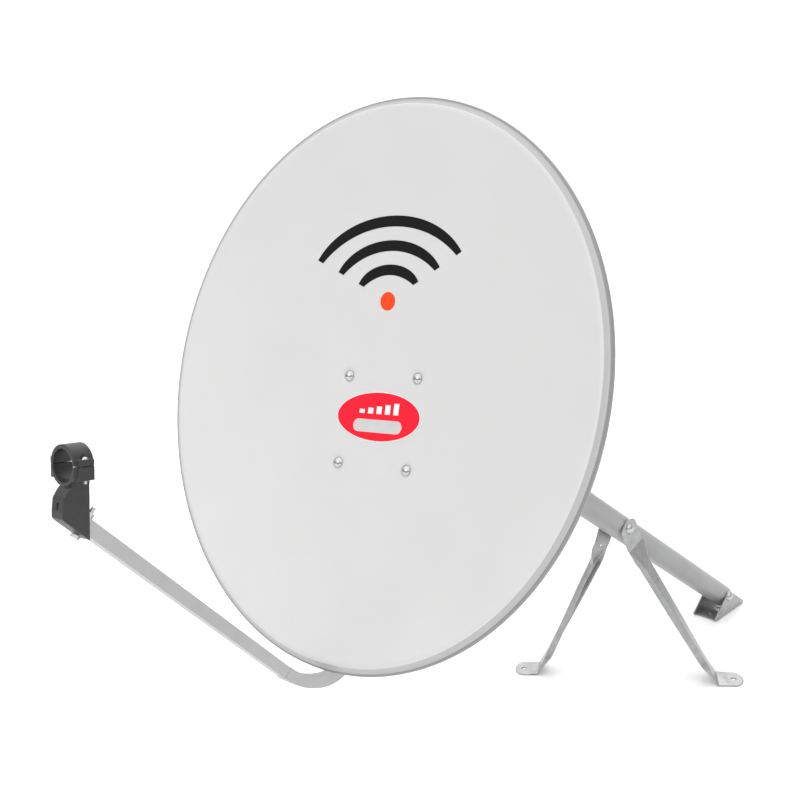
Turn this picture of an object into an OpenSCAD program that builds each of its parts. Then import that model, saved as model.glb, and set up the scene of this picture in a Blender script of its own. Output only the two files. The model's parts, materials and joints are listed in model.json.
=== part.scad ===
// Offset satellite dish on a bent mast with two struts.
// Millimetres, +Z up. The origin is the anchor hole of the base bracket, on the ground.
// The dish faces -Y. The mast and its struts stand turned by mount_turn about the origin.

/* [Reflector] */
// Half width of the reflecting face, inside the rim
face_r = 435; // [380:1:500]
// Half height of the reflecting face, along its own slope
face_h = 465; // [450:1:520]
// Focal length of the paraboloid
focal = 546; // [480:1:640]
// Thickness of the pressed sheet
sheet_t = 1.5; // [1:0.1:2]
// Width of the rolled rim outside the face
rim_w = 15; // [10:1:20]
// How far the rim is turned back
rim_back = 13; // [10:1:20]
// Lean of the face from upright, in degrees
tilt = 20.9; // [10:0.1:28]
// Height of the face's centre above the ground
face_height = 936; // [900:1:960]

/* [Mast and base] */
// Outer diameter of the mast tube
mast_d = 60.3; // [58:0.1:61]
// Wall of the mast tube
mast_wall = 2.5; // [2:0.1:3]
// Slope of the mast's lower run, in degrees
mast_slope = 38.7; // [36:0.1:41]
// Horizontal run from the base to the upright top
mast_run = 971; // [940:1:1000]
// Turn of the mast and base against the dish's front, in degrees
mount_turn = -14.2; // [-20:0.1:0]
// Half length of the base bracket
base_half_l = 74; // [60:1:90]

/* [Struts] */
// Distance from the base pivot to the struts' cross bolt, along the mast
strut_at = 563; // [540:1:590]
// Sideways distance of a foot hole from the mast's plane
foot_side = 210; // [180:1:240]
// How far each foot stands ahead of or behind the cross bolt
foot_swing = 145; // [120:1:170]
// Width of the strut's strip where it is flat
strip_w = 60; // [50:1:64]

/* [Feed] */
// Side of the square feed arm
arm_w = 18; // [16:0.5:20]
// Inner diameter of the clamp ring for the feed
ring_d = 40; // [38:0.5:42]
// Length of the clamp ring along its axis
ring_l = 26; // [22:1:30]

/* [Hidden] */
$fn = 48;

// Gap between pieces that only touch, and between bodies that move
seat_gap = 0.1;
move_gap = 0.4;
cut = 1;

// Paraboloid: lean of the face against the aperture, and the aperture's centre
face_lean = acos(face_r / face_h);
aperture_y = 2 * focal * tan(face_lean);
aperture_z = (face_r * face_r + aperture_y * aperture_y) / (4 * focal);

// Four bolts through the reflector, and the oval label between them
bolt_x = 75;
bolt_u = 78.5;
bolt_mid_u = -65.5;
label_w = 182;
label_h = 88;
label_u = -57;
bolt_spots = [for (x = [-bolt_x, bolt_x], u = [-bolt_u, bolt_u]) [x, bolt_mid_u + u]];

// Mast
mast_r = mast_d / 2;
pivot_h = 48;
bend_r = 110;
bend_angle = 90 - mast_slope;
bend_bulge = 0.5;
bend_lap = 1;
corner_h = pivot_h + mast_run * tan(mast_slope);
bend_tangent = bend_r * tan(bend_angle / 2);
mast_top = 1040;
mast_tail = 20;
axis_x = mast_run * sin(mount_turn);
axis_y = -mast_run * cos(mount_turn);

// Folded sheet of the base, its holes and its pivot bolt
base_t = 3;
base_half_w = mast_r + move_gap + base_t;
base_corner_r = 6;
apex_r = 15;
anchor_d = 12;
side_hole_d = 9;
side_hole_at = 44;
m12 = 12;
m12_pin = 11.95;
m12_clear = 12.1;

// Struts: pressed strip, flat at both ends and folded into a channel between them
strut_t = 3;
strut_half_w = strip_w / 2;
strut_end_l = 22;
flange_w = 16;
top_flat = 50;
tab_flat = 40;
flat_past_bolt = 18;
flat_past_foot = 12;
knee_out = 4;
heel_lift = 2;
fold_run = 60;
bend_run = 12;
shank_steps = 40;
foot_hole_d = 11;
web_hole_d = 6;
web_hole_top = 8;
web_hole_low = 14;
strut_head_at = mast_r + 2 * move_gap + strut_t;
cross_fwd = strut_at * cos(mast_slope);
cross_h = pivot_h + strut_at * sin(mast_slope);

// Tilt pivot, in the dish's own frame: Y backwards, Z up along the face.
// The face's centre stands ahead of the mast's upright axis by face_ahead.
face_ahead = 242;
pivot_ahead = 62;
pivot_h_world = 950;
pivot_dy = face_ahead - pivot_ahead;
pivot_dz = pivot_h_world - face_height;
pivot_y = pivot_dy * cos(tilt) - pivot_dz * sin(tilt);
pivot_z = pivot_dy * sin(tilt) + pivot_dz * cos(tilt);
lock_r = 46;
tilt_down = 18;
tilt_up = 24;
ear_end_r = 15;

// Clamp on the mast
clamp_half_w = 47;
clamp_t = 3;
clamp_z = [905, 1000];
cheek_back_y = 20;
cheek_margin = 13;
web_y = -(mast_r + 12);
u_bolt_d = 8;
u_bolt_r = mast_r + move_gap + u_bolt_d / 2;
u_bolt_z = [925, 980];

// Bracket behind the reflector
plate_y = 86;
plate_t = 3;
plate_half_w = 92;
plate_low = -180;
plate_top = 118;
ear_x = clamp_half_w - clamp_t - move_gap;
ear_t = 3;
ear_drop = 75;
pad_d = 32;
flange_h = 14;
m8 = 8;
m8_clear = 8.1;
m8_loose = 8.6;
m10 = 10;
m10_clear = 10.1;

// Feed arm: its straight run, two bends and the run up behind the reflector
arm_slope = 30.6;
arm_wall = 1.5;
arm_r1 = 184;
arm_low_u = -497;
arm_low_y = 8;
arm_rear_y = plate_y + plate_t + seat_gap + arm_w / 2;
arm_r2 = arm_rear_y - arm_low_y;
arm_run = 482;
arm_end_u = -106;
arm_rear_run = arm_end_u - arm_low_u - arm_r2;
arm_bolt_u = [-160, -120];
holder_bolt_run = 449;
m6 = 6;

// Feed holder
ring_mid_u = -171.5;
ring_mid_n = 497;
ring_r = ring_d / 2;
ring_wall = 5;
ring_lean = 10.5;
ring_split = 0.6;
lug_w = 9;
lug_x = ring_r + 1 + lug_w / 2;
lug_h = 8;
lug_drop = 17;
screw_x = ring_r + 5.3;
screw_d = 4;
nut_room_d = 14;
head_room_d = 9;
grip_wall = 3.2;
grip_half_w = arm_w / 2 + grip_wall;

// ---------- helpers ----------

function face_depth(x, u) =
    let (a = aperture_y + u * cos(face_lean), s = sin(face_lean), c = cos(face_lean), f4 = 4 * focal)
    let (qa = s * s / f4, qb = 2 * a * s / f4 + c, qc = (a * a + x * x) / f4 - aperture_z - u * s)
    (-qb + sqrt(qb * qb - 4 * qa * qc)) / (2 * qa);

function arc_points(center, r, a0, a1, steps = 8) =
    [for (i = [0:steps]) let (a = a0 + (a1 - a0) * i / steps) center + r * [cos(a), sin(a)]];

function unit(v) = v / norm(v);

function mix(a, b, t) = a + (b - a) * t;

function smooth(t) = let (c = min(1, max(0, t))) c * c * (3 - 2 * c);

// Places children of the mast's plane: origin at the anchor hole, mast running towards -Y
module mount_frame() {
    rotate([0, 0, mount_turn]) children();
}

// Places children of the upright end of the mast, turned to the dish's front
module axis_frame() {
    translate([axis_x, axis_y, 0]) children();
}

// Places children of the dish: origin at the face's centre, +Y backwards, +Z up the face
module dish_frame() {
    translate([axis_x, axis_y - face_ahead, face_height]) rotate([-tilt, 0, 0]) children();
}

// Turns a shape made along +Z so that it runs along +X
module along_x() {
    rotate([0, 90, 0]) children();
}

// Turns a shape made along +Z so that it runs along +Y
module along_y() {
    rotate([-90, 0, 0]) children();
}

// Turns a shape made along +Z so that it runs along the unit vector v
module along(v) {
    rotate([0, acos(v.z), atan2(v.y, v.x)]) children();
}

module dome(d, h) {
    r = (d * d / 4 + h * h) / (2 * h);
    intersection() {
        translate([0, 0, h - r]) sphere(r = r);
        cylinder(d = d, h = h);
    }
}

// Bolt along +Z: the head sits below z = 0, the shank above it
module hex_bolt(d, length, head_w, head_h) {
    cylinder(d = d, h = length);
    translate([0, 0, -head_h]) cylinder(d = head_w / cos(30), h = head_h, $fn = 6);
}

module dome_bolt(d, length, head_d, head_h) {
    cylinder(d = d, h = length);
    mirror([0, 0, 1]) dome(head_d, head_h);
}

module washer(d, outer_d, h) {
    difference() {
        cylinder(d = outer_d, h = h);
        translate([0, 0, -cut]) cylinder(d = d + 2 * seat_gap, h = h + 2 * cut);
    }
}

// Washer with a nut on it, along +Z
module nut_stack(d, nut_w, nut_h, washer_d, washer_h) {
    washer(d, washer_d, washer_h);
    translate([0, 0, washer_h + seat_gap]) difference() {
        cylinder(d = nut_w / cos(30), h = nut_h, $fn = 6);
        translate([0, 0, -cut]) cylinder(d = d + 2 * seat_gap, h = nut_h + 2 * cut);
    }
}

// ---------- mast, base and struts ----------

module cheek_outline() {
    corner = base_half_l - base_corner_r;
    polygon(concat(
        arc_points([-corner, base_corner_r], base_corner_r, 270, 150),
        arc_points([0, pivot_h], apex_r, 140, 40),
        arc_points([corner, base_corner_r], base_corner_r, 30, -90)
    ));
}

module base_bracket() {
    plate_l = base_half_l - base_corner_r;
    color("silver") mount_frame() difference() {
        union() {
            for (side = [-1, 1])
                translate([side * (base_half_w - base_t / 2) - base_t / 2, 0, 0])
                    rotate([90, 0, 90]) linear_extrude(base_t) cheek_outline();
            translate([-base_half_w, -plate_l, 0]) cube([2 * base_half_w, 2 * plate_l, base_t]);
        }
        translate([-base_half_w - cut, 0, pivot_h])
            along_x() cylinder(d = m12_clear, h = 2 * base_half_w + 2 * cut);
        translate([0, 0, -cut]) cylinder(d = anchor_d, h = base_t + 2 * cut);
        for (side = [-1, 1])
            translate([0, side * side_hole_at, -cut]) cylinder(d = side_hole_d, h = base_t + 2 * cut);
    }
}

module base_pivot_bolt() {
    color("gainsboro") mount_frame() translate([base_half_w + seat_gap, 0, pivot_h])
        mirror([1, 0, 0]) along_x() dome_bolt(m12_pin, 2 * base_half_w + 20, 26, 8);
}

module base_pivot_nut() {
    color("gainsboro") mount_frame() translate([-base_half_w - seat_gap, 0, pivot_h])
        mirror([1, 0, 0]) along_x() nut_stack(m12, 19, 10, 24, 2.5);
}

// Solid bar of the mast's shape at a given diameter, in its own plane, placed from the middle of
// the bend. The bend bulges a little, and the straight runs reach a short way into it.
module mast_solid(d, extra) {
    lower = mast_run / cos(mast_slope) - bend_tangent + mast_tail + extra;
    upper = mast_top + extra - corner_h - bend_tangent;
    translate([0, -mast_run + bend_r, corner_h + bend_tangent]) {
        rotate([bend_angle, 0, 0]) translate([0, -bend_r, bend_lap])
            mirror([0, 0, 1]) cylinder(d = d, h = lower + bend_lap);
        translate([0, -bend_r, -bend_lap]) cylinder(d = d, h = upper + bend_lap);
        rotate([0, 90, 0]) rotate([0, 0, -90]) rotate_extrude(angle = bend_angle)
            translate([bend_r, 0]) circle(d = d + 2 * bend_bulge);
    }
}

module mast() {
    color("darkgray") mount_frame() difference() {
        mast_solid(mast_d, 0);
        mast_solid(mast_d - 2 * mast_wall, cut);
        translate([-mast_r - cut, 0, pivot_h])
            along_x() cylinder(d = m12_clear, h = mast_d + 2 * cut);
        translate([-mast_r - cut, -cross_fwd, cross_h])
            along_x() cylinder(d = m12 + 0.5, h = mast_d + 2 * cut);
    }
}

module mast_cap() {
    color("dimgray") axis_frame() translate([0, 0, mast_top + seat_gap]) {
        cylinder(d = mast_d - 2 * mast_wall + 6, h = 4);
        translate([0, 0, -20]) cylinder(d = mast_d - 2 * mast_wall - 2 * seat_gap, h = 21);
    }
}

// Cross-section of a strut at one station. fold = 0 is flat strip, fold = 1 is the full channel.
// u runs across the strip and v towards the flanges.
function strut_section(half_w, fold) =
    let (flange = mix(1.2, flange_w, fold) * half_w / strut_half_w, angle = 78 * fold)
    let (crease = half_w - flange, tip_u = crease + flange * cos(angle), tip_v = flange * sin(angle))
    let (in_u = crease - strut_t * tan(angle / 2), end_u = tip_u - strut_t * sin(angle))
    let (end_v = tip_v + strut_t * cos(angle))
    [
        [-tip_u, tip_v], [-crease, 0], [crease, 0], [tip_u, tip_v],
        [end_u, end_v], [in_u, strut_t], [-in_u, strut_t], [-end_u, end_v]
    ];

// Joins rings of equal length into one closed solid
module ring_solid(rings) {
    n = len(rings[0]);
    last = len(rings) - 1;
    sides = [
        for (i = [0:last - 1], j = [0:n - 1], half = [0, 1])
            let (a = i * n + j, b = i * n + (j + 1) % n)
            half == 0 ? [a, b, b + n] : [a, b + n, a + n]
    ];
    start_cap = [[for (j = [n - 1:-1:0]) j]];
    end_cap = [[for (j = [0:n - 1]) last * n + j]];
    polyhedron(points = [for (ring = rings) each ring], faces = concat(start_cap, sides, end_cap));
}

// Half width of the strip near a rounded end, at distance s inside the end
function round_end(s) =
    let (d = (strut_end_l - min(strut_end_l, s + 0.3)) / strut_end_l) strut_half_w * sqrt(1 - d * d);

// The strut on the mast's +X side, with its foot behind the cross bolt. The origin is on the
// ground, straight below the middle of the bolt.
module strut() {
    out = [1, 0, 0];
    up = [0, 0, 1];
    start = [mast_r + move_gap, 0, cross_h];
    foot = [foot_side, foot_swing, 0];
    top_dir = unit([0, foot.y - start.y, -cross_h]);
    tab_dir = unit([foot.x - start.x, foot.y - start.y, 0]);
    knee = start + top_flat * top_dir + knee_out * out;
    heel = foot - tab_flat * tab_dir + heel_lift * up;
    shank = unit(heel - knee);
    span = norm(heel - knee);
    shank_out = unit(out - (out * shank) * shank);
    shank_up = unit(up - (up * shank) * shank);

    function station(p, dir, normal, half_w, fold) =
        let (n = unit(normal - (normal * dir) * dir), w = cross(dir, n))
        [for (q = strut_section(half_w, fold)) p + w * q[0] - n * (q[1] - strut_t)];

    top_rings = [
        for (s = [0, 1, 3, 7, 12, 17, strut_end_l, strut_end_l + flat_past_bolt])
            station(start + (s - strut_end_l) * top_dir, top_dir, out, round_end(s), 0)
    ];
    shank_rings = [
        for (i = [0:shank_steps]) let (t = i / shank_steps, s = t * span)
            let (fold = smooth(s / fold_run) * smooth((span - s) / fold_run))
            let (leave = smooth((s + bend_run) / (2 * bend_run)))
            let (arrive = 1 - smooth((span - s + bend_run) / (2 * bend_run)))
            let (dir = unit(mix(mix(top_dir, shank, leave), tab_dir, arrive)))
            station(
                mix(knee, heel, t), dir, mix(shank_out, shank_up, smooth(t)), strut_half_w, fold
            )
    ];
    tab_rings = [
        for (s = [strut_end_l + flat_past_foot, strut_end_l, 17, 12, 7, 3, 1, 0])
            station(foot + (strut_end_l - s) * tab_dir, tab_dir, up, round_end(s), 0)
    ];
    difference() {
        ring_solid(concat(top_rings, shank_rings, tab_rings));
        translate([mast_r - 10, 0, cross_h]) along_x() cylinder(d = m12_clear, h = 20);
        translate([foot.x, foot.y, -10]) cylinder(d = foot_hole_d, h = 20);
        translate(knee + web_hole_top * shank) along(out) web_hole();
        translate(heel - web_hole_low * shank) along(shank_up) web_hole();
    }
}

module web_hole() {
    translate([0, 0, -10]) cylinder(d = web_hole_d, h = 20, $fn = 24);
}

module leg_left() {
    color("silver") mount_frame() translate([0, -cross_fwd, 0]) rotate([0, 0, 180]) strut();
}

module leg_right() {
    color("silver") mount_frame() translate([0, -cross_fwd, 0]) strut();
}

module leg_bolt() {
    color("gainsboro") mount_frame() translate([strut_head_at, -cross_fwd, cross_h])
        mirror([1, 0, 0]) along_x() dome_bolt(m12_pin, 2 * strut_head_at + 20, 26, 8);
}

module leg_bolt_nut() {
    color("gainsboro") mount_frame() translate([-strut_head_at, -cross_fwd, cross_h])
        mirror([1, 0, 0]) along_x() nut_stack(m12, 19, 10, 24, 2.5);
}

// ---------- clamp on the mast ----------

module clamp_cheek_outline() {
    polygon(concat(
        [[web_y, clamp_z[0]]],
        [[cheek_back_y, clamp_z[0]], [cheek_back_y, clamp_z[1]]],
        arc_points([-pivot_ahead, pivot_h_world], lock_r + cheek_margin, 70, 250, 16)
    ));
}

module mast_clamp() {
    color("silver") axis_frame() difference() {
        union() {
            for (side = [-1, 1])
                translate([side * (clamp_half_w - clamp_t / 2) - clamp_t / 2, 0, 0])
                    rotate([90, 0, 90]) linear_extrude(clamp_t) clamp_cheek_outline();
            translate([-clamp_half_w, web_y - clamp_t, clamp_z[0]])
                cube([2 * clamp_half_w, clamp_t, clamp_z[1] - clamp_z[0]]);
        }
        translate([-clamp_half_w - cut, -pivot_ahead, pivot_h_world])
            along_x() cylinder(d = m10_clear, h = 2 * clamp_half_w + 2 * cut);
        translate([0, -pivot_ahead, pivot_h_world]) rotate([180 - tilt, 0, 0])
            translate([-clamp_half_w - cut, lock_r, 0])
                along_x() cylinder(d = m8_clear, h = 2 * clamp_half_w + 2 * cut);
        for (x = [-u_bolt_r, u_bolt_r], z = u_bolt_z)
            translate([x, web_y - clamp_t - cut, z])
                along_y() cylinder(d = u_bolt_d + 1, h = clamp_t + 2 * cut);
    }
}

// Two notched blocks that seat the mast against the clamp's web
module clamp_saddles() {
    color("silver") axis_frame() for (z = u_bolt_z)
        difference() {
            translate([-29, web_y + seat_gap, z - 6]) cube([58, 22, 12]);
            translate([0, 0, z - 10]) cylinder(r = mast_r + move_gap, h = 20);
        }
}

module u_bolt(reach) {
    rotate_extrude(angle = 180) translate([u_bolt_r, 0]) circle(d = u_bolt_d);
    for (x = [-u_bolt_r, u_bolt_r])
        translate([x, 0, 0]) rotate([90, 0, 0]) cylinder(d = u_bolt_d, h = reach);
}

module clamp_bolts() {
    color("gainsboro") axis_frame() for (z = u_bolt_z)
        translate([0, 0, z]) u_bolt(-web_y + clamp_t + 16);
}

module clamp_nuts() {
    color("gainsboro") axis_frame() for (x = [-u_bolt_r, u_bolt_r], z = u_bolt_z)
        translate([x, web_y - clamp_t - seat_gap, z])
            rotate([90, 0, 0]) nut_stack(u_bolt_d, 13, 6.5, 15, 1.6);
}

module tilt_pivot_bolt() {
    reach = clamp_half_w + seat_gap;
    color("gainsboro") axis_frame() translate([reach, -pivot_ahead, pivot_h_world])
        mirror([1, 0, 0]) along_x() hex_bolt(m10, 2 * reach + 16, 17, 6.5);
}

module tilt_pivot_nut() {
    color("gainsboro") axis_frame()
        translate([-clamp_half_w - seat_gap, -pivot_ahead, pivot_h_world])
            mirror([1, 0, 0]) along_x() nut_stack(m10, 17, 8, 20, 2);
}

// Places one lock bolt's axis on each side; children run inwards along +Z
module lock_spots() {
    axis_frame() translate([0, -pivot_ahead, pivot_h_world]) rotate([180 - tilt, 0, 0])
        for (side = [-1, 1])
            translate([side * (clamp_half_w + seat_gap), lock_r, 0])
                rotate([0, -side * 90, 0]) children();
}

module tilt_lock_bolts() {
    color("gainsboro") lock_spots() hex_bolt(m8, 20, 13, 5.3);
}

module tilt_lock_nuts() {
    inner = clamp_t + 2 * move_gap + ear_t + seat_gap;
    color("gainsboro") lock_spots() translate([0, 0, inner + move_gap])
        nut_stack(m8, 13, 6.5, 16, 1.6);
}

// ---------- dish ----------

// Layer along the reflecting face, from front ahead of it to back behind it
module face_layer(front, back) {
    steps = 28;
    reach = aperture_y + face_r + 30;
    rotate([-face_lean, 0, 0]) rotate([90, 0, 0]) translate([0, -aperture_y, -aperture_z])
        rotate_extrude($fn = 180) polygon(concat(
            [for (i = [0:steps]) let (r = reach * i / steps) [r, r * r / (4 * focal) + front]],
            [for (i = [steps:-1:0]) let (r = reach * i / steps) [r, r * r / (4 * focal) - back]]
        ));
}

// Rolled edge: an elliptical ring that curls backwards
module rim_ring() {
    curl = rim_w / 2;
    profile = concat(
        [[face_r - 3, -0.8], [face_r, 0.4]],
        arc_points([face_r + curl, 0], curl, 165, 0, 8),
        [[face_r + rim_w, -rim_back], [face_r + rim_w - sheet_t, -rim_back]],
        arc_points([face_r + curl, -0.4], curl - sheet_t, 0, 165, 8),
        [[face_r, -1.6], [face_r - 3, -2.6]]
    );
    along_y() mirror([0, 0, 1]) scale([1, face_h / face_r, 1])
        rotate_extrude($fn = 180) polygon(profile);
}

module reflector() {
    color("gainsboro") dish_frame() difference() {
        union() {
            intersection() {
                face_layer(0, sheet_t);
                rotate([-face_lean, 0, 0]) translate([0, 200, 0]) rotate([90, 0, 0])
                    cylinder(r = face_r, h = 400, $fn = 180);
            }
            rim_ring();
        }
        for (spot = bolt_spots)
            translate([spot.x, 0, spot.y]) along_y() cylinder(d = m8_loose, h = 150);
    }
}

module ear_outline() {
    polygon(concat(
        [[plate_y, pivot_z - ear_drop], [plate_y, plate_top - 4]],
        arc_points([pivot_y, pivot_z], ear_end_r, 60, -60, 10),
        [[pivot_y - 10, pivot_z - 60]]
    ));
}

module ear_slot() {
    slot_w = m8 + 1.2;
    for (a = [-tilt_down, tilt_up])
        rotate([a, 0, 0]) translate([-10, -lock_r, 0]) along_x() cylinder(d = slot_w, h = 20);
    translate([-10, 0, 0]) rotate([0, 90, 0]) rotate([0, 0, -90 - tilt_down])
        rotate_extrude(angle = tilt_up + tilt_down)
            translate([lock_r - slot_w / 2, 0]) square([slot_w, 20]);
}

// Pads that reach from the bracket's plate to the back of the reflector at its bolts
module reflector_pads() {
    difference() {
        for (spot = bolt_spots)
            translate([spot.x, face_depth(spot.x, spot.y) - 5, spot.y])
                along_y() cylinder(d = pad_d, h = plate_y + 1 - face_depth(spot.x, spot.y) + 5);
        face_layer(20, sheet_t + seat_gap);
    }
}

module back_bracket() {
    plate_h = plate_top - plate_low;
    color("silver") dish_frame() difference() {
        union() {
            translate([-plate_half_w, plate_y, plate_low]) cube([2 * plate_half_w, plate_t, plate_h]);
            for (side = [-1, 1]) {
                translate([side * (ear_x - ear_t / 2) - ear_t / 2, 0, 0])
                    rotate([90, 0, 90]) linear_extrude(ear_t) ear_outline();
                translate([side * (plate_half_w - plate_t / 2) - plate_t / 2, plate_y, plate_low])
                    cube([plate_t, flange_h, plate_h]);
            }
            reflector_pads();
        }
        translate([-60, pivot_y, pivot_z]) along_x() cylinder(d = m10_clear, h = 120);
        for (side = [-1, 1])
            translate([side * (ear_x - ear_t / 2), pivot_y, pivot_z]) ear_slot();
        for (spot = bolt_spots)
            translate([spot.x, 0, spot.y]) along_y() cylinder(d = m8_loose, h = 150);
        for (z = arm_bolt_u)
            translate([0, plate_y - cut, z]) along_y() cylinder(d = m8_loose, h = plate_t + 2 * cut);
    }
}

// The heads' undersides follow the curve of the reflector
module reflector_bolts() {
    head_d = 22;
    head_h = 7;
    sunk = 2;
    color("white") dish_frame() for (spot = bolt_spots) {
        depth = face_depth(spot.x, spot.y);
        translate([spot.x, depth - cut, spot.y]) along_y() cylinder(d = m8, h = plate_y - depth + 18);
        difference() {
            translate([spot.x, depth + sunk, spot.y]) along_y() mirror([0, 0, 1]) dome(head_d, head_h);
            face_layer(seat_gap, 10);
        }
    }
}

module reflector_nuts() {
    color("gainsboro") dish_frame() for (spot = bolt_spots)
        translate([spot.x, plate_y + plate_t + seat_gap, spot.y])
            along_y() nut_stack(m8, 13, 6.5, 18, 1.6);
}

module oval_label() {
    color("crimson") dish_frame() intersection() {
        face_layer(0.7, -seat_gap);
        translate([0, 120, label_u]) rotate([90, 0, 0]) scale([label_w / 2, label_h / 2, 1])
            cylinder(r = 1, h = 80);
    }
}

// ---------- feed arm and holder ----------

// Path of the arm as a solid square bar of the given side, in the plane x = 0.
// The lowest point of the bend's middle line is at (arm_low_y, arm_low_u). The two bends bulge a
// little, and the straight runs reach a short way into them.
module arm_bar(side, extra) {
    bent = side + 2 * bend_bulge;
    translate([0, arm_low_y, arm_low_u + arm_r1]) {
        rotate([0, 90, 0]) mirror([0, 1, 0]) rotate_extrude(angle = arm_slope, $fn = 96)
            translate([arm_r1 - bent / 2, -bent / 2]) square(bent);
        rotate([-arm_slope, 0, 0]) translate([-side / 2, -arm_run - extra, -arm_r1 - side / 2])
            cube([side, arm_run + extra + bend_lap, side]);
    }
    translate([0, arm_low_y, arm_low_u + arm_r2]) {
        rotate([0, 90, 0]) rotate_extrude(angle = 90, $fn = 96)
            translate([arm_r2 - bent / 2, -bent / 2]) square(bent);
        translate([-side / 2, arm_r2 - side / 2, -bend_lap])
            cube([side, side, arm_rear_run + extra + bend_lap]);
    }
}

module feed_arm() {
    color("silver") dish_frame() difference() {
        arm_bar(arm_w, 0);
        arm_bar(arm_w - 2 * arm_wall, cut);
        for (z = arm_bolt_u)
            translate([0, 0, z]) along_y() cylinder(d = m8 + 0.4, h = 150);
        on_arm(holder_bolt_run) translate([0, 0, -arm_w]) cylinder(d = m6 + 0.4, h = 2 * arm_w);
    }
}

// Places children on the arm's straight run: origin on its middle line at the given distance
// from the bend, +Y back towards the bend, +Z square to the arm and upwards
module on_arm(run) {
    translate([0, arm_low_y, arm_low_u + arm_r1]) rotate([-arm_slope, 0, 0])
        translate([0, -run, -arm_r1]) children();
}

module arm_end_cap() {
    color("dimgray") dish_frame() translate([0, arm_rear_y, arm_end_u + seat_gap]) {
        inner = arm_w - 2 * arm_wall - 2 * seat_gap;
        translate([-arm_w / 2, -arm_w / 2 + 0.2, 0]) cube([arm_w, arm_w - 0.2, 2.5]);
        translate([-inner / 2, -inner / 2, -10]) cube([inner, inner, 10.5]);
    }
}

module arm_bolts() {
    color("gainsboro") dish_frame() for (u = arm_bolt_u)
        translate([0, plate_y - seat_gap, u]) along_y()
            hex_bolt(m8, plate_t + arm_w + 14, 13, 3.5);
}

module arm_nuts() {
    color("gainsboro") dish_frame() for (u = arm_bolt_u)
        translate([0, arm_rear_y + arm_w / 2 + seat_gap, u])
            along_y() nut_stack(m8, 13, 6.5, 15, 1.6);
}

// Places children at the clamp ring: origin at its centre, +Y along its axis towards the dish
module ring_frame() {
    translate([0, -ring_mid_n, ring_mid_u]) rotate([ring_lean, 0, 0]) children();
}

// Half of the clamp ring with its lugs; up = 1 is the upper half, up = -1 the lower
module ring_half(up) {
    intersection() {
        union() {
            translate([0, -ring_l / 2, 0]) along_y() cylinder(r = ring_r + ring_wall, h = ring_l);
            for (side = [-1, 1])
                translate([side * lug_x - lug_w / 2, -ring_l / 2 + 3, -lug_drop])
                    cube([lug_w, ring_l - 6, lug_drop + lug_h]);
        }
        translate([-50, -50, up > 0 ? ring_split / 2 : -50 - ring_split / 2]) cube([100, 100, 50]);
    }
}

module ring_cuts() {
    translate([0, -ring_l, 0]) along_y() cylinder(r = ring_r, h = 2 * ring_l);
    for (side = [-1, 1])
        translate([side * screw_x, 0, 0]) {
            translate([0, 0, -20]) cylinder(d = screw_d + 0.4, h = 40);
            translate([0, 0, lug_h]) cylinder(d = head_room_d, h = 20);
        }
}

// Side view of the holder's grip on the arm
module grip_outline() {
    polygon([
        [-467.5, -260.3], [-502, -239.8], [-507, -236], [-508.5, -228], [-509.5, -212],
        [-505, -202], [-500, -194], [-497, -184], [-480, -178], [-478, -196], [-475.5, -210]
    ]);
}

module lnb_holder() {
    color("dimgray") dish_frame() difference() {
        union() {
            difference() {
                translate([-grip_half_w, 0, 0])
                    rotate([90, 0, 90]) linear_extrude(2 * grip_half_w) grip_outline();
                ring_frame() translate([0, -50, 0]) along_y() cylinder(r = ring_r + 1, h = 100);
            }
            ring_frame() ring_half(-1);
        }
        ring_frame() ring_cuts();
        ring_frame() translate([-50, -50, -ring_split / 2]) cube([100, 100, 50]);
        on_arm(0) translate([-arm_w / 2 - seat_gap, -arm_run - seat_gap, -arm_w / 2 - seat_gap])
            cube([arm_w + 2 * seat_gap, 200, arm_w + 2 * seat_gap]);
        translate([-2, -520, -226]) cube([4, 14, 9]);
        on_arm(holder_bolt_run) {
            translate([0, 0, -40]) cylinder(d = m6 + 0.4, h = 80);
            translate([0, 0, arm_w / 2]) cylinder(d = nut_room_d, h = 12);
        }
    }
}

module lnb_cap() {
    color("dimgray") dish_frame() difference() {
        ring_frame() ring_half(1);
        ring_frame() ring_cuts();
    }
}

module cap_screws() {
    color("gainsboro") dish_frame() ring_frame() for (side = [-1, 1])
        translate([side * screw_x, 0, lug_h + seat_gap]) mirror([0, 0, 1])
            dome_bolt(screw_d, lug_h + lug_drop + 4, 2 * screw_d, 3);
}

module holder_bolt() {
    color("gainsboro") dish_frame() on_arm(holder_bolt_run)
        translate([0, 0, -grip_half_w - 2.6]) hex_bolt(m6, 2 * arm_w + 2, 10, 4);
}

module holder_nut() {
    color("gainsboro") dish_frame() on_arm(holder_bolt_run)
        translate([0, 0, arm_w / 2 + seat_gap]) nut_stack(m6, 10, 5, 12, 1.6);
}

base_bracket();
base_pivot_bolt();
base_pivot_nut();
mast();
mast_cap();
leg_left();
leg_right();
leg_bolt();
leg_bolt_nut();
mast_clamp();
clamp_saddles();
clamp_bolts();
clamp_nuts();
tilt_pivot_bolt();
tilt_pivot_nut();
tilt_lock_bolts();
tilt_lock_nuts();
reflector();
back_bracket();
reflector_bolts();
reflector_nuts();
oval_label();
feed_arm();
arm_end_cap();
arm_bolts();
arm_nuts();
lnb_holder();
lnb_cap();
cap_screws();
holder_bolt();
holder_nut();
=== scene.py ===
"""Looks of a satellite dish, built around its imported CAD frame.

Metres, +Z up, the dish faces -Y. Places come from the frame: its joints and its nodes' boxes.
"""

import json
import math

import bmesh
import bpy
from mathutils import Matrix, Vector


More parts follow.
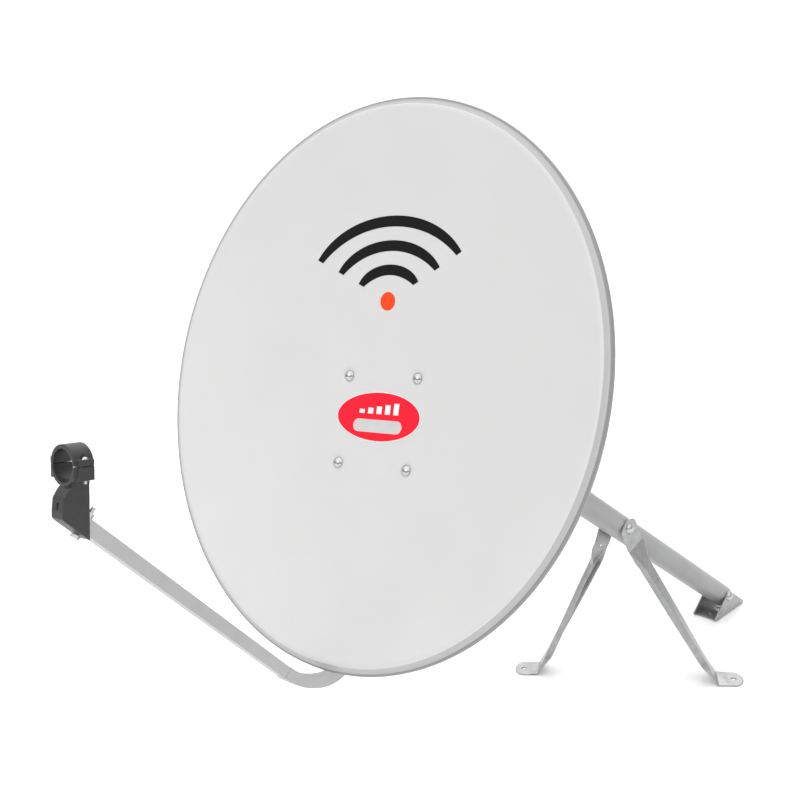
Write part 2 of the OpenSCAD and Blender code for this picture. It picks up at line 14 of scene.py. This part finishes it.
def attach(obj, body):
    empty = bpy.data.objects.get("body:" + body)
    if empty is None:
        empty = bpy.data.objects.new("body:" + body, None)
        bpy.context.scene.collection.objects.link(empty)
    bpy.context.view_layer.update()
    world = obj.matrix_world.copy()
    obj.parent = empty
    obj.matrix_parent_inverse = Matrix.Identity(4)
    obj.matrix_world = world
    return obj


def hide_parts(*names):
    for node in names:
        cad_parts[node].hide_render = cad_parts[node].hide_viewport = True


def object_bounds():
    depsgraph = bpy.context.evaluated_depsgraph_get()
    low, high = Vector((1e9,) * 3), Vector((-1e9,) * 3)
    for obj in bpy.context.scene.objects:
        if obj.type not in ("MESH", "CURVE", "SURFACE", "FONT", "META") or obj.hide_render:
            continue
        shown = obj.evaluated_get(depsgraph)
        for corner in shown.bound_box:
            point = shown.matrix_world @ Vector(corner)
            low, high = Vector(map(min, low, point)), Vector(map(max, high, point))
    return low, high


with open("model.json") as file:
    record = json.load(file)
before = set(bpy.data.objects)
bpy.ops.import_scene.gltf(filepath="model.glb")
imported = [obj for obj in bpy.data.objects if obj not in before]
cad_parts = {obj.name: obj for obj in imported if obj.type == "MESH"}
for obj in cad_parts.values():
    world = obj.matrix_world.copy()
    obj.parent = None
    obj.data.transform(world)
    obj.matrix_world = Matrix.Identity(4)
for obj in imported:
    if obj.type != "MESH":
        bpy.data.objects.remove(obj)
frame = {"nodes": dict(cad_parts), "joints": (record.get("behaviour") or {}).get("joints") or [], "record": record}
CAD_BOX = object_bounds()
NODES = frame["nodes"]
RECORD = frame["record"]
JOINTS = {j["name"]: j for j in frame["joints"]}

# ---------- the dish's own frame ----------

# The reflector's shape, the same as in the CAD source
FACE_R = 0.435
FACE_H = 0.465
FOCAL = 0.546
SHEET = 0.0015
TILT = math.radians(20.9)
FACE_AHEAD = 0.242
FACE_HEIGHT = 0.936
LEAN = math.acos(FACE_R / FACE_H)
APERTURE_Y = 2 * FOCAL * math.tan(LEAN)
APERTURE_Z = (FACE_R**2 + APERTURE_Y**2) / (4 * FOCAL)
BOLTS = [(x, -0.0655 + u) for x in (-0.075, 0.075) for u in (-0.0785, 0.0785)]

AXIS = Vector(JOINTS["azimuth"]["pos_m"])
FACE_CENTRE = Vector((AXIS.x, AXIS.y - FACE_AHEAD, FACE_HEIGHT))
DISH_TURN = Matrix.Rotation(-TILT, 3, "X")
FRONT = DISH_TURN @ Vector((0, -1, 0))


def dish(x, y, u):
    """A point of the dish's frame: x across, y backwards, u up along the face."""
    return FACE_CENTRE + DISH_TURN @ Vector((x, y, u))


def depth(x, u):
    """How far the reflecting face lies behind the plane of its edge."""
    s, c = math.sin(LEAN), math.cos(LEAN)
    a = APERTURE_Y + u * c
    qa = s * s / (4 * FOCAL)
    qb = 2 * a * s / (4 * FOCAL) + c
    qc = (a * a + x * x) / (4 * FOCAL) - APERTURE_Z - u * s
    return (-qb + math.sqrt(qb * qb - 4 * qa * qc)) / (2 * qa)


def smooth(t):
    t = min(1.0, max(0.0, t))
    return t * t * (3 - 2 * t)


# ---------- meshes ----------


def make(name, verts, faces, body, material, smooth_angle=35.0, replaces=()):
    """A mesh piece that rides on a body, with smooth shading broken at sharp edges."""
    mesh = bpy.data.meshes.new(name)
    mesh.from_pydata([tuple(v) for v in verts], [], faces)
    mesh.validate()
    work = bmesh.new()
    work.from_mesh(mesh)
    bmesh.ops.recalc_face_normals(work, faces=work.faces)
    work.to_mesh(mesh)
    work.free()
    piece = bpy.data.objects.new(name, mesh)
    bpy.context.scene.collection.objects.link(piece)
    for m in material if isinstance(material, (list, tuple)) else [material]:
        mesh.materials.append(m)
    shade(mesh, smooth_angle)
    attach(piece, body)
    if replaces:
        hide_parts(*replaces)
    return piece


def shade(mesh, angle):
    """Smooth shading, with the edges sharper than angle kept sharp."""
    mesh.polygons.foreach_set("use_smooth", [True] * len(mesh.polygons))
    mesh.set_sharp_from_angle(angle=math.radians(angle))


def rounded(name, source, body, slot, material, voxel, passes):
    """Stands for a CAD node with a copy of its solid whose edges and bends are rounded."""
    copy = bpy.data.objects.new(name + "_source", NODES[source].data.copy())
    bpy.context.scene.collection.objects.link(copy)
    even = copy.modifiers.new("even", "REMESH")
    even.mode = "VOXEL"
    even.voxel_size = voxel
    soft = copy.modifiers.new("soft", "SMOOTH")
    soft.factor = 0.5
    soft.iterations = passes
    shape = copy.evaluated_get(bpy.context.evaluated_depsgraph_get())
    mesh = bpy.data.meshes.new_from_object(shape)
    mesh.name = name
    bpy.data.objects.remove(copy)
    mesh.materials.clear()
    mesh.materials.append(material)
    shade(mesh, 60.0)
    piece = bpy.data.objects.new(name, mesh)
    bpy.context.scene.collection.objects.link(piece)
    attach(piece, body)
    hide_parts(source)
    return piece


def oval_ring(turns, half, place, centre=(0, 0)):
    """Points round an oval of the dish's face; place(x, u) gives each one's position."""
    ring = []
    for k in range(turns):
        a = 2 * math.pi * k / turns
        ring.append(place(centre[0] + half[0] * math.cos(a), centre[1] + half[1] * math.sin(a)))
    return ring


def closed_disc(rings, start, end):
    """Faces between equal rings, closed with a fan to the start point and one to the end point."""
    n = len(rings[0])
    verts = [p for ring in rings for p in ring] + [start, end]
    faces = []
    for i in range(len(rings) - 1):
        for j in range(n):
            a, b = i * n + j, i * n + (j + 1) % n
            faces.append((a, b, b + n, a + n))
    last = (len(rings) - 1) * n
    for k in range(n):
        faces.append((len(verts) - 2, (k + 1) % n, k))
        faces.append((len(verts) - 1, last + k, last + (k + 1) % n))
    return verts, faces


PATCH_THICK = 0.00025


def patch(name, place, ns, nt, lift, material):
    """A thin printed patch on the reflecting face. place(s, t) gives its (x, u) for s and t from 0 to 1."""
    grid = []
    for layer in (lift, lift - PATCH_THICK):
        for i in range(ns + 1):
            for j in range(nt + 1):
                x, u = place(i / ns, j / nt)
                grid.append(dish(x, depth(x, u), u) + FRONT * layer)
    row, half = nt + 1, (ns + 1) * (nt + 1)
    faces = []
    for i in range(ns):
        for j in range(nt):
            a = i * row + j
            quad = (a, a + 1, a + row + 1, a + row)
            faces.append(quad)
            faces.append(tuple(half + k for k in reversed(quad)))
    edge = [i * row for i in range(ns)] + [ns * row + j for j in range(nt)]
    edge += [i * row + nt for i in range(ns, 0, -1)] + [j for j in range(nt, 0, -1)]
    for k, a in enumerate(edge):
        b = edge[(k + 1) % len(edge)]
        faces.append((a, b, half + b, half + a))
    return make(name, grid, faces, "dish", material)


# ---------- materials ----------


class Nodes:
    """A short way to build a node material."""

    def __init__(self, name):
        self.material = bpy.data.materials.new(name)
        self.material.use_nodes = True
        self.tree = self.material.node_tree
        self.shader = self.tree.nodes["Principled BSDF"]
        self.coords = self.tree.nodes.new("ShaderNodeTexCoord").outputs["Object"]

    def add(self, kind, inputs=None, **settings):
        node = self.tree.nodes.new(kind)
        for key, value in settings.items():
            setattr(node, key, value)
        for key, value in (inputs or {}).items():
            if isinstance(value, bpy.types.NodeSocket):
                self.tree.links.new(value, node.inputs[key])
            else:
                node.inputs[key].default_value = value
        return node

    def noise(self, scale, detail=3.0, rough=0.55, stretch=None):
        where = self.coords
        if stretch:
            where = self.add("ShaderNodeMapping", {"Vector": where, "Scale": stretch}).outputs[0]
        return self.add(
            "ShaderNodeTexNoise",
            {"Vector": where, "Scale": scale, "Detail": detail, "Roughness": rough},
        ).outputs["Fac"]

    def remap(self, value, low, high, to_low=0.0, to_high=1.0):
        return self.add(
            "ShaderNodeMapRange",
            {"Value": value, "From Min": low, "From Max": high, "To Min": to_low, "To Max": to_high},
        ).outputs[0]

    def math(self, operation, a, b=0.5):
        return self.add("ShaderNodeMath", {0: a, 1: b}, operation=operation).outputs[0]

    def blend(self, factor, a, b):
        node = self.add("ShaderNodeMix", {"Factor": factor}, data_type="RGBA")
        for key, value in ((6, a), (7, b)):
            if isinstance(value, bpy.types.NodeSocket):
                self.tree.links.new(value, node.inputs[key])
            else:
                node.inputs[key].default_value = value
        return node.outputs[2]

    def link(self, socket, key):
        self.tree.links.new(socket, self.shader.inputs[key])


def grey(level, warm=0.0):
    """A near grey with a slight warm or cool cast."""
    return (level * (1 + warm), level, level * (1 - warm), 1)


def surface(name, base, metallic, rough, mottle, grain, wear_and_highlight, streak=None, coat=0.0):
    """A surface with rubbed edges: mottle = (scale, share), grain = (scale, depth), wear_and_highlight = (colour,
    radius, amount), an edge colour for rubbing that on the zinc sheet is also a painted highlight.
    """
    n = Nodes(name)
    shader = n.shader
    shader.inputs["Metallic"].default_value = metallic
    shader.inputs["Coat Weight"].default_value = coat
    shader.inputs["Coat Roughness"].default_value = 0.25
    dark = tuple(c * (1 - mottle[1]) for c in base[:3]) + (1,)
    light = tuple(min(1, c * (1 + mottle[1])) for c in base[:3]) + (1,)
    cloud = n.remap(n.noise(mottle[0], 4.0), 0.35, 0.65)
    colour = n.blend(cloud, dark, light)
    fine = n.noise(grain[0], 2.0)
    tone = n.remap(fine, 0.3, 0.7, rough * 0.88, rough * 1.12)
    if streak:
        lines = n.noise(streak[0], 2.0, 0.6, streak[1])
        tone = n.math("ADD", tone, n.remap(lines, 0.3, 0.7, -streak[2], streak[2]))
        colour = n.blend(n.remap(lines, 0.4, 0.75, 0.0, 0.35), colour, dark)
    round_edge = n.add("ShaderNodeBevel", {"Radius": wear_and_highlight[1]}, samples=4).outputs[0]
    flat = n.add("ShaderNodeNewGeometry").outputs["Normal"]
    agree = n.add("ShaderNodeVectorMath", {0: round_edge, 1: flat}, operation="DOT_PRODUCT").outputs["Value"]
    edge = n.remap(agree, 0.995, 0.9)
    chips = n.remap(n.noise(160.0, 3.0), 0.42, 0.62)
    # The edge colour stands for rubbed paint and metal; on the zinc sheet it is also a painted highlight along
    # bends and creases.
    wear_and_highlight_mask = n.math("MULTIPLY", n.math("MULTIPLY", edge, chips), wear_and_highlight[2])
    colour = n.blend(wear_and_highlight_mask, colour, wear_and_highlight[0])
    n.link(colour, "Base Color")
    n.link(n.math("SUBTRACT", tone, n.math("MULTIPLY", wear_and_highlight_mask, 0.1)), "Roughness")
    bump = n.add(
        "ShaderNodeBump",
        {"Strength": 0.5, "Distance": grain[1], "Height": fine, "Normal": round_edge},
    )
    n.link(bump.outputs[0], "Normal")
    return n.material


def printed(name, colour, rough):
    """Ink or vinyl with a faint tooth and a slightly uneven tone."""
    n = Nodes(name)
    dark = tuple(c * 0.93 for c in colour[:3]) + (1,)
    n.shader.inputs["Specular IOR Level"].default_value = 0.15
    n.link(n.blend(n.remap(n.noise(35.0), 0.35, 0.65), dark, colour), "Base Color")
    n.link(n.remap(n.noise(220.0), 0.3, 0.7, rough * 0.85, rough * 1.15), "Roughness")
    height = n.noise(1400.0, 2.0)
    bump = n.add("ShaderNodeBump", {"Strength": 0.25, "Distance": 0.0001, "Height": height})
    n.link(bump.outputs[0], "Normal")
    return n.material


PAINT = surface(
    "reflector_paint", grey(0.575, 0.002), 0.0, 0.42, (6.0, 0.012), (900.0, 0.00006),
    (grey(0.5), 0.0008, 0.5), coat=0.15,
)
# Painted shade: the rim's sloping shoulder and its turned edge get darker greys than the face, standing in for the
# shade that falls on them; the rim is painted like the face.
SHOULDER_SHADE = surface(
    "shoulder_painted_shade", grey(0.42, 0.002), 0.0, 0.4, (8.0, 0.015), (900.0, 0.00006),
    (grey(0.5), 0.0008, 0.5), coat=0.15,
)
EDGE_SHADE = surface(
    "edge_painted_shade", grey(0.23, 0.002), 0.0, 0.4, (8.0, 0.02), (900.0, 0.00006),
    (grey(0.5), 0.0008, 0.5), coat=0.15,
)
TUBE = surface(
    "mast_paint", grey(0.3, -0.004), 0.3, 0.4, (14.0, 0.04), (1100.0, 0.00008),
    (grey(0.6), 0.0008, 0.7), coat=0.1,
)
ARM = surface(
    "arm_paint", grey(0.4, -0.002), 0.2, 0.42, (16.0, 0.04), (1100.0, 0.00008),
    (grey(0.62), 0.0009, 0.7), coat=0.1,
)
# The zinc sheet's light edge colour is partly rubbed metal and partly a painted highlight along its bends and
# creases.
SHEET_STEEL = surface(
    "zinc_sheet", grey(0.36, -0.004), 0.7, 0.33, (60.0, 0.1), (700.0, 0.00008),
    (grey(0.8), 0.001, 0.8), streak=(260.0, (1, 1, 0.12), 0.05),
)
FASTENER = surface(
    "zinc_fastener", grey(0.5, 0.004), 1.0, 0.1, (240.0, 0.06), (1500.0, 0.00004),
    (grey(0.95), 0.0008, 0.6), streak=(900.0, (1, 1, 0.2), 0.04),
)
PLASTIC = surface(
    "black_plastic", grey(0.019, -0.02), 0.0, 0.42, (60.0, 0.16), (2200.0, 0.00012),
    (grey(0.16), 0.0012, 0.7),
)
LABEL_RED = printed("label_red", (0.95, 0.01, 0.03, 1), 0.4)
LABEL_WHITE = printed("label_white", grey(0.82), 0.4)
LABEL_GREY = printed("label_grey", grey(0.55), 0.4)
INK_BLACK = printed("ink_black", grey(0.004), 0.6)
INK_ORANGE = printed("ink_orange", (0.86, 0.06, 0.01, 1), 0.5)

FINISH = {
    "reflector_paint": PAINT,
    "mast_tube": TUBE,
    "arm_tube": ARM,
    "zinc_sheet": SHEET_STEEL,
    "zinc_fastener": FASTENER,
    "black_plastic": PLASTIC,
    "label_red": LABEL_RED,
}
for row in RECORD["subparts"]:
    shown = NODES[row["node"]]
    shown.data.materials.clear()
    shown.data.materials.append(FINISH[row["material_slot"]])


# ---------- reflector ----------

SEAT_R = 0.0165
SEAT_DEPTH = 0.0012
SEAT_FLAT = 0.55
SEAT_SLOPE = 0.6

# The face's rings lie closer together out to the bolts, as shares of the way to its edge
TURNS = 320
INNER_SHARE, OUTER_SHARE = 0.32, 0.68
INNER_RINGS, OUTER_RINGS = 70, 60

# The rim's section as (out, back) steps from the face's edge: a shoulder that slopes back, a flat
# band and a turned edge; then the same section seen from behind, on the way in again
RIM_FRONT = [
    (0.0015, 0.0003), (0.0030, 0.0012), (0.0050, 0.0028), (0.0068, 0.0041), (0.0082, 0.0048),
    (0.0095, 0.0050), (0.0110, 0.0047), (0.0124, 0.0047), (0.0136, 0.0052), (0.0145, 0.0061),
    (0.0150, 0.0076), (0.0150, 0.0104), (0.0150, 0.0124), (0.0146, 0.0129),
]
RIM_REAR = [
    (0.0135, 0.0129), (0.0135, 0.0104), (0.0134, 0.0079), (0.0127, 0.0067), (0.0112, 0.0062),
    (0.0096, 0.0065), (0.0078, 0.0062), (0.0060, 0.0054), (0.0043, 0.0042), (0.0026, 0.0028),
    (0.0012, 0.0019),
]


def seat(x, u):
    """Depth of the pressed seats round the bolts."""
    total = 0.0
    for bx, bu in BOLTS:
        away = math.hypot(x - bx, u - bu)
        total += SEAT_DEPTH * (1 - smooth((away - SEAT_FLAT * SEAT_R) / (SEAT_SLOPE * SEAT_R)))
    return total


def face_point(x, u):
    return dish(x, depth(x, u) + seat(x, u), u)


def back_point(x, u):
    return dish(x, depth(x, u) + seat(x, u) + SHEET, u)


def reflector():
    """The pressed face, its turned rim and its back, as one smooth closed sheet, with painted shade on the rim."""
    reach = [INNER_SHARE * i / INNER_RINGS for i in range(1, INNER_RINGS + 1)]
    reach += [INNER_SHARE + OUTER_SHARE * i / OUTER_RINGS for i in range(1, OUTER_RINGS + 1)]
    rings = [oval_ring(TURNS, (FACE_R * share, FACE_H * share), face_point) for share in reach]
    stretch = FACE_H / FACE_R
    for out, back in RIM_FRONT + RIM_REAR:
        r = FACE_R + out
        rings.append(oval_ring(TURNS, (r, r * stretch), lambda x, u: dish(x, back, u)))
    rings += [oval_ring(TURNS, (FACE_R * share, FACE_H * share), back_point) for share in reach[::-1]]
    middle = depth(0, 0)
    verts, faces = closed_disc(rings, dish(0, middle, 0), dish(0, middle + SHEET, 0))
    paints_and_shades = [PAINT, SHOULDER_SHADE, EDGE_SHADE]
    sheet = make("reflector_sheet", verts, faces, "dish", paints_and_shades, 50.0, ["reflector"])
    # The rings of the rim where each painted shade starts and ends: a mid grey on the sloping shoulder, a dark
    # grey from the flat band over the turned edge
    shoulder, edge = (1, 6), (6, len(RIM_FRONT) + 3)
    for paint, (start, end) in ((1, shoulder), (2, edge)):
        for i in range((len(reach) + start) * TURNS, (len(reach) + end) * TURNS):
            sheet.data.polygons[i].material_index = paint


reflector()

# ---------- label and mark ----------

LABEL_W, LABEL_H, LABEL_U = 0.182, 0.088, -0.057


OVAL_TURNS, OVAL_STEPS = 96, 10
OVAL_THICK = 0.0003

# How far the front of each printed layer stands off the face
INK_LIFT = 0.00035
BORDER_LIFT = 0.00045
FIELD_LIFT = 0.00062
PRINT_LIFT = 0.0008


def oval(name, centre, half, lift, material, replaces=()):
    """An oval patch on the face, made of rings; centre and half are (x, u)."""

    def at(level):
        return lambda x, u: dish(x, depth(x, u), u) + FRONT * level

    levels = (lift, lift - OVAL_THICK)
    sizes = [(half[0] * i / OVAL_STEPS, half[1] * i / OVAL_STEPS) for i in range(1, OVAL_STEPS + 1)]
    layers = [[oval_ring(OVAL_TURNS, size, at(level), centre) for size in sizes] for level in levels]
    ends = [at(level)(*centre) for level in levels]
    verts, faces = closed_disc(layers[0] + layers[1][::-1], *ends)
    return make(name, verts, faces, "dish", material, 35.0, replaces)


BORDER = 0.0016
FIELD_HALF = (LABEL_W / 2 - BORDER, LABEL_H / 2 - BORDER)
oval("label_border", (0, LABEL_U), (LABEL_W / 2, LABEL_H / 2), BORDER_LIFT, LABEL_WHITE)
oval("label_field", (0, LABEL_U), FIELD_HALF, FIELD_LIFT, LABEL_RED, replaces=["oval_label"])

PILL_W, PILL_H, PILL_U = 0.106, 0.0225, -0.0735
PILL_LEAST = 0.0004


def pill(s, t):
    """A blank field with round ends."""
    half = PILL_H / 2
    x = (s - 0.5) * PILL_W
    over = max(0.0, abs(x) - (PILL_W / 2 - half))
    rise = math.sqrt(max(0.0, half * half - over * over))
    return x, PILL_U + (2 * t - 1) * max(rise, PILL_LEAST)


patch("label_pill", pill, 48, 6, PRINT_LIFT, LABEL_GREY)

BAR_COUNT = 5
BAR_W, BAR_STEP, BAR_FOOT = 0.011, 0.0185, -0.052
BAR_LOWEST, BAR_RISE = 0.007, 0.0032


def bar(index):
    """One of a row of plain upright bars that rise to the right."""
    height = BAR_LOWEST + BAR_RISE * index
    left = (index - (BAR_COUNT - 1) / 2) * BAR_STEP - BAR_W / 2
    return lambda s, t: (left + s * BAR_W, BAR_FOOT + t * height)


for i in range(BAR_COUNT):
    patch(f"label_bar_{i}", bar(i), 4, 6, PRINT_LIFT, LABEL_WHITE)

# A plain sign for waves: a dot under three arcs
WAVE_X, WAVE_U = 0.0, 0.145
WAVE_W = 0.018
WAVE_WIDEN = 1.3
WAVE_LOW, WAVE_HIGH = 32.0, 148.0
WAVE_RADII = (0.054, 0.095, 0.136)
WAVE_TAPER, TAPER_POWER = 0.45, 3
DOT_R = 0.016


def wave(radius):
    """One arc of the sign, a little narrower at its ends."""

    def place(s, t):
        a = math.radians(WAVE_LOW + (WAVE_HIGH - WAVE_LOW) * s)
        taper = 1 - WAVE_TAPER * abs(2 * s - 1) ** TAPER_POWER
        r = radius + (t - 0.5) * WAVE_W * taper
        return WAVE_X + WAVE_WIDEN * r * math.cos(a), WAVE_U + r * math.sin(a)

    return place


for i, r in enumerate(WAVE_RADII):
    patch(f"wave_arc_{i}", wave(r), 48, 3, INK_LIFT, INK_BLACK)
oval("wave_dot", (WAVE_X, WAVE_U), (DOT_R, DOT_R), INK_LIFT, INK_ORANGE)

# ---------- moulded and pressed pieces ----------

# The voxel size and the smoothing passes that round each kind's edges
MOULDED = (0.0007, 5)
PRESSED = (0.0011, 8)

rounded("holder_body", "lnb_holder", "dish", "black_plastic", PLASTIC, *MOULDED)
rounded("holder_top", "lnb_cap", "dish", "black_plastic", PLASTIC, *MOULDED)
for side in ("left", "right"):
    rounded(f"strut_{side}", f"leg_{side}", f"leg_{side}", "zinc_sheet", SHEET_STEEL, *PRESSED)

# ---------- camera, floor and light ----------

CAMERA_AT = Vector((0.6573, -2.2346, 1.2107))
CAMERA_RIGHT = Vector((0.80493, 0.58388, -0.10567))
CAMERA_UP = Vector((-0.05041, 0.24474, 0.96828))
CAMERA_LENS = 37.95
SENSOR = 36.0
FLOOR_HALF = 30.0
FLOOR_GAP = 0.0005
BACKDROP = (-0.588, 0.809, 0.0)

# The studio's brightness towards the backdrop and towards the roof: the range of the direction's
# share that way, then the brightness at its two ends
WALL_GLOW = ((0.5, 0.84), (0.5, 1.12))
ROOF_GLOW = ((0.05, 0.95), (0.0, 1.15))

# Each light's place from the object's middle, its width and its watts
LIGHTS = {
    "key": ((-0.3, -3.4, 2.2), 2.4, 22),
    "fill": ((2.8, -1.6, 1.4), 2.0, 3),
    "back": ((-0.8, 3.2, 2.6), 2.0, 20),
}


def add_camera():
    """The camera, at the angle of the picture that the dish was made from."""
    data = bpy.data.cameras.new("camera")
    data.lens = CAMERA_LENS
    data.sensor_width = SENSOR
    data.clip_end = 60.0
    camera = bpy.data.objects.new("camera", data)
    right = CAMERA_RIGHT.normalized()
    up = (CAMERA_UP - right * CAMERA_UP.dot(right)).normalized()
    turn = Matrix((right, up, right.cross(up))).transposed().to_4x4()
    camera.matrix_world = Matrix.Translation(CAMERA_AT) @ turn
    bpy.context.scene.collection.objects.link(camera)
    bpy.context.scene.camera = camera


def add_floor():
    """A wide pale floor with a fine speckle."""
    n = Nodes("floor")
    tone = n.remap(n.noise(9.0), 0.3, 0.7)
    n.link(n.blend(tone, grey(0.93), grey(0.95)), "Base Color")
    n.shader.inputs["Roughness"].default_value = 0.9
    mesh = bpy.data.meshes.new("floor")
    corners = [(FLOOR_HALF * x, FLOOR_HALF * y, 0) for x, y in ((-1, -1), (1, -1), (1, 1), (-1, 1))]
    mesh.from_pydata(corners, [], [(0, 1, 2, 3)])
    mesh.materials.append(n.material)
    floor = bpy.data.objects.new("floor", mesh)
    floor.location.z = CAD_BOX[0][2] - FLOOR_GAP
    bpy.context.scene.collection.objects.link(floor)


def add_light(name, at, towards, size, watts):
    """A soft round light that looks at a point."""
    data = bpy.data.lights.new(name, "AREA")
    data.shape = "DISK"
    data.size = size
    data.energy = watts
    light = bpy.data.objects.new(name, data)
    light.location = at
    light.rotation_euler = (Vector(towards) - Vector(at)).to_track_quat("-Z", "Y").to_euler()
    bpy.context.scene.collection.objects.link(light)


def ramp(tree, value, source, target):
    """A smooth step of value from the source range to the target range."""
    node = tree.nodes.new("ShaderNodeMapRange")
    node.interpolation_type = "SMOOTHSTEP"
    for key, number in zip(("From Min", "From Max", "To Min", "To Max"), source + target):
        node.inputs[key].default_value = number
    tree.links.new(value, node.inputs["Value"])
    return node.outputs[0]


def add_world():
    """A studio that is brightest overhead and at the backdrop, so that edges and metal stand out."""
    world = bpy.data.worlds.new("studio")
    world.use_nodes = True
    tree = world.node_tree
    sky = tree.nodes["Background"]
    where = tree.nodes.new("ShaderNodeTexCoord").outputs["Generated"]
    split = tree.nodes.new("ShaderNodeSeparateXYZ")
    tree.links.new(where, split.inputs[0])
    towards = tree.nodes.new("ShaderNodeVectorMath")
    towards.operation = "DOT_PRODUCT"
    towards.inputs[1].default_value = BACKDROP
    tree.links.new(where, towards.inputs[0])
    wall = ramp(tree, towards.outputs["Value"], *WALL_GLOW)
    roof = ramp(tree, split.outputs["Z"], *ROOF_GLOW)
    total = tree.nodes.new("ShaderNodeMath")
    tree.links.new(wall, total.inputs[0])
    tree.links.new(roof, total.inputs[1])
    tree.links.new(total.outputs[0], sky.inputs["Strength"])
    sky.inputs["Color"].default_value = (1, 1, 1, 1)
    bpy.context.scene.world = world


add_camera()
add_floor()
add_world()
middle = (Vector(CAD_BOX[0]) + Vector(CAD_BOX[1])) / 2
for name, (offset, width, watts) in LIGHTS.items():
    add_light(name, middle + Vector(offset), middle, width, watts)

bpy.context.scene.view_settings.view_transform = "Standard"
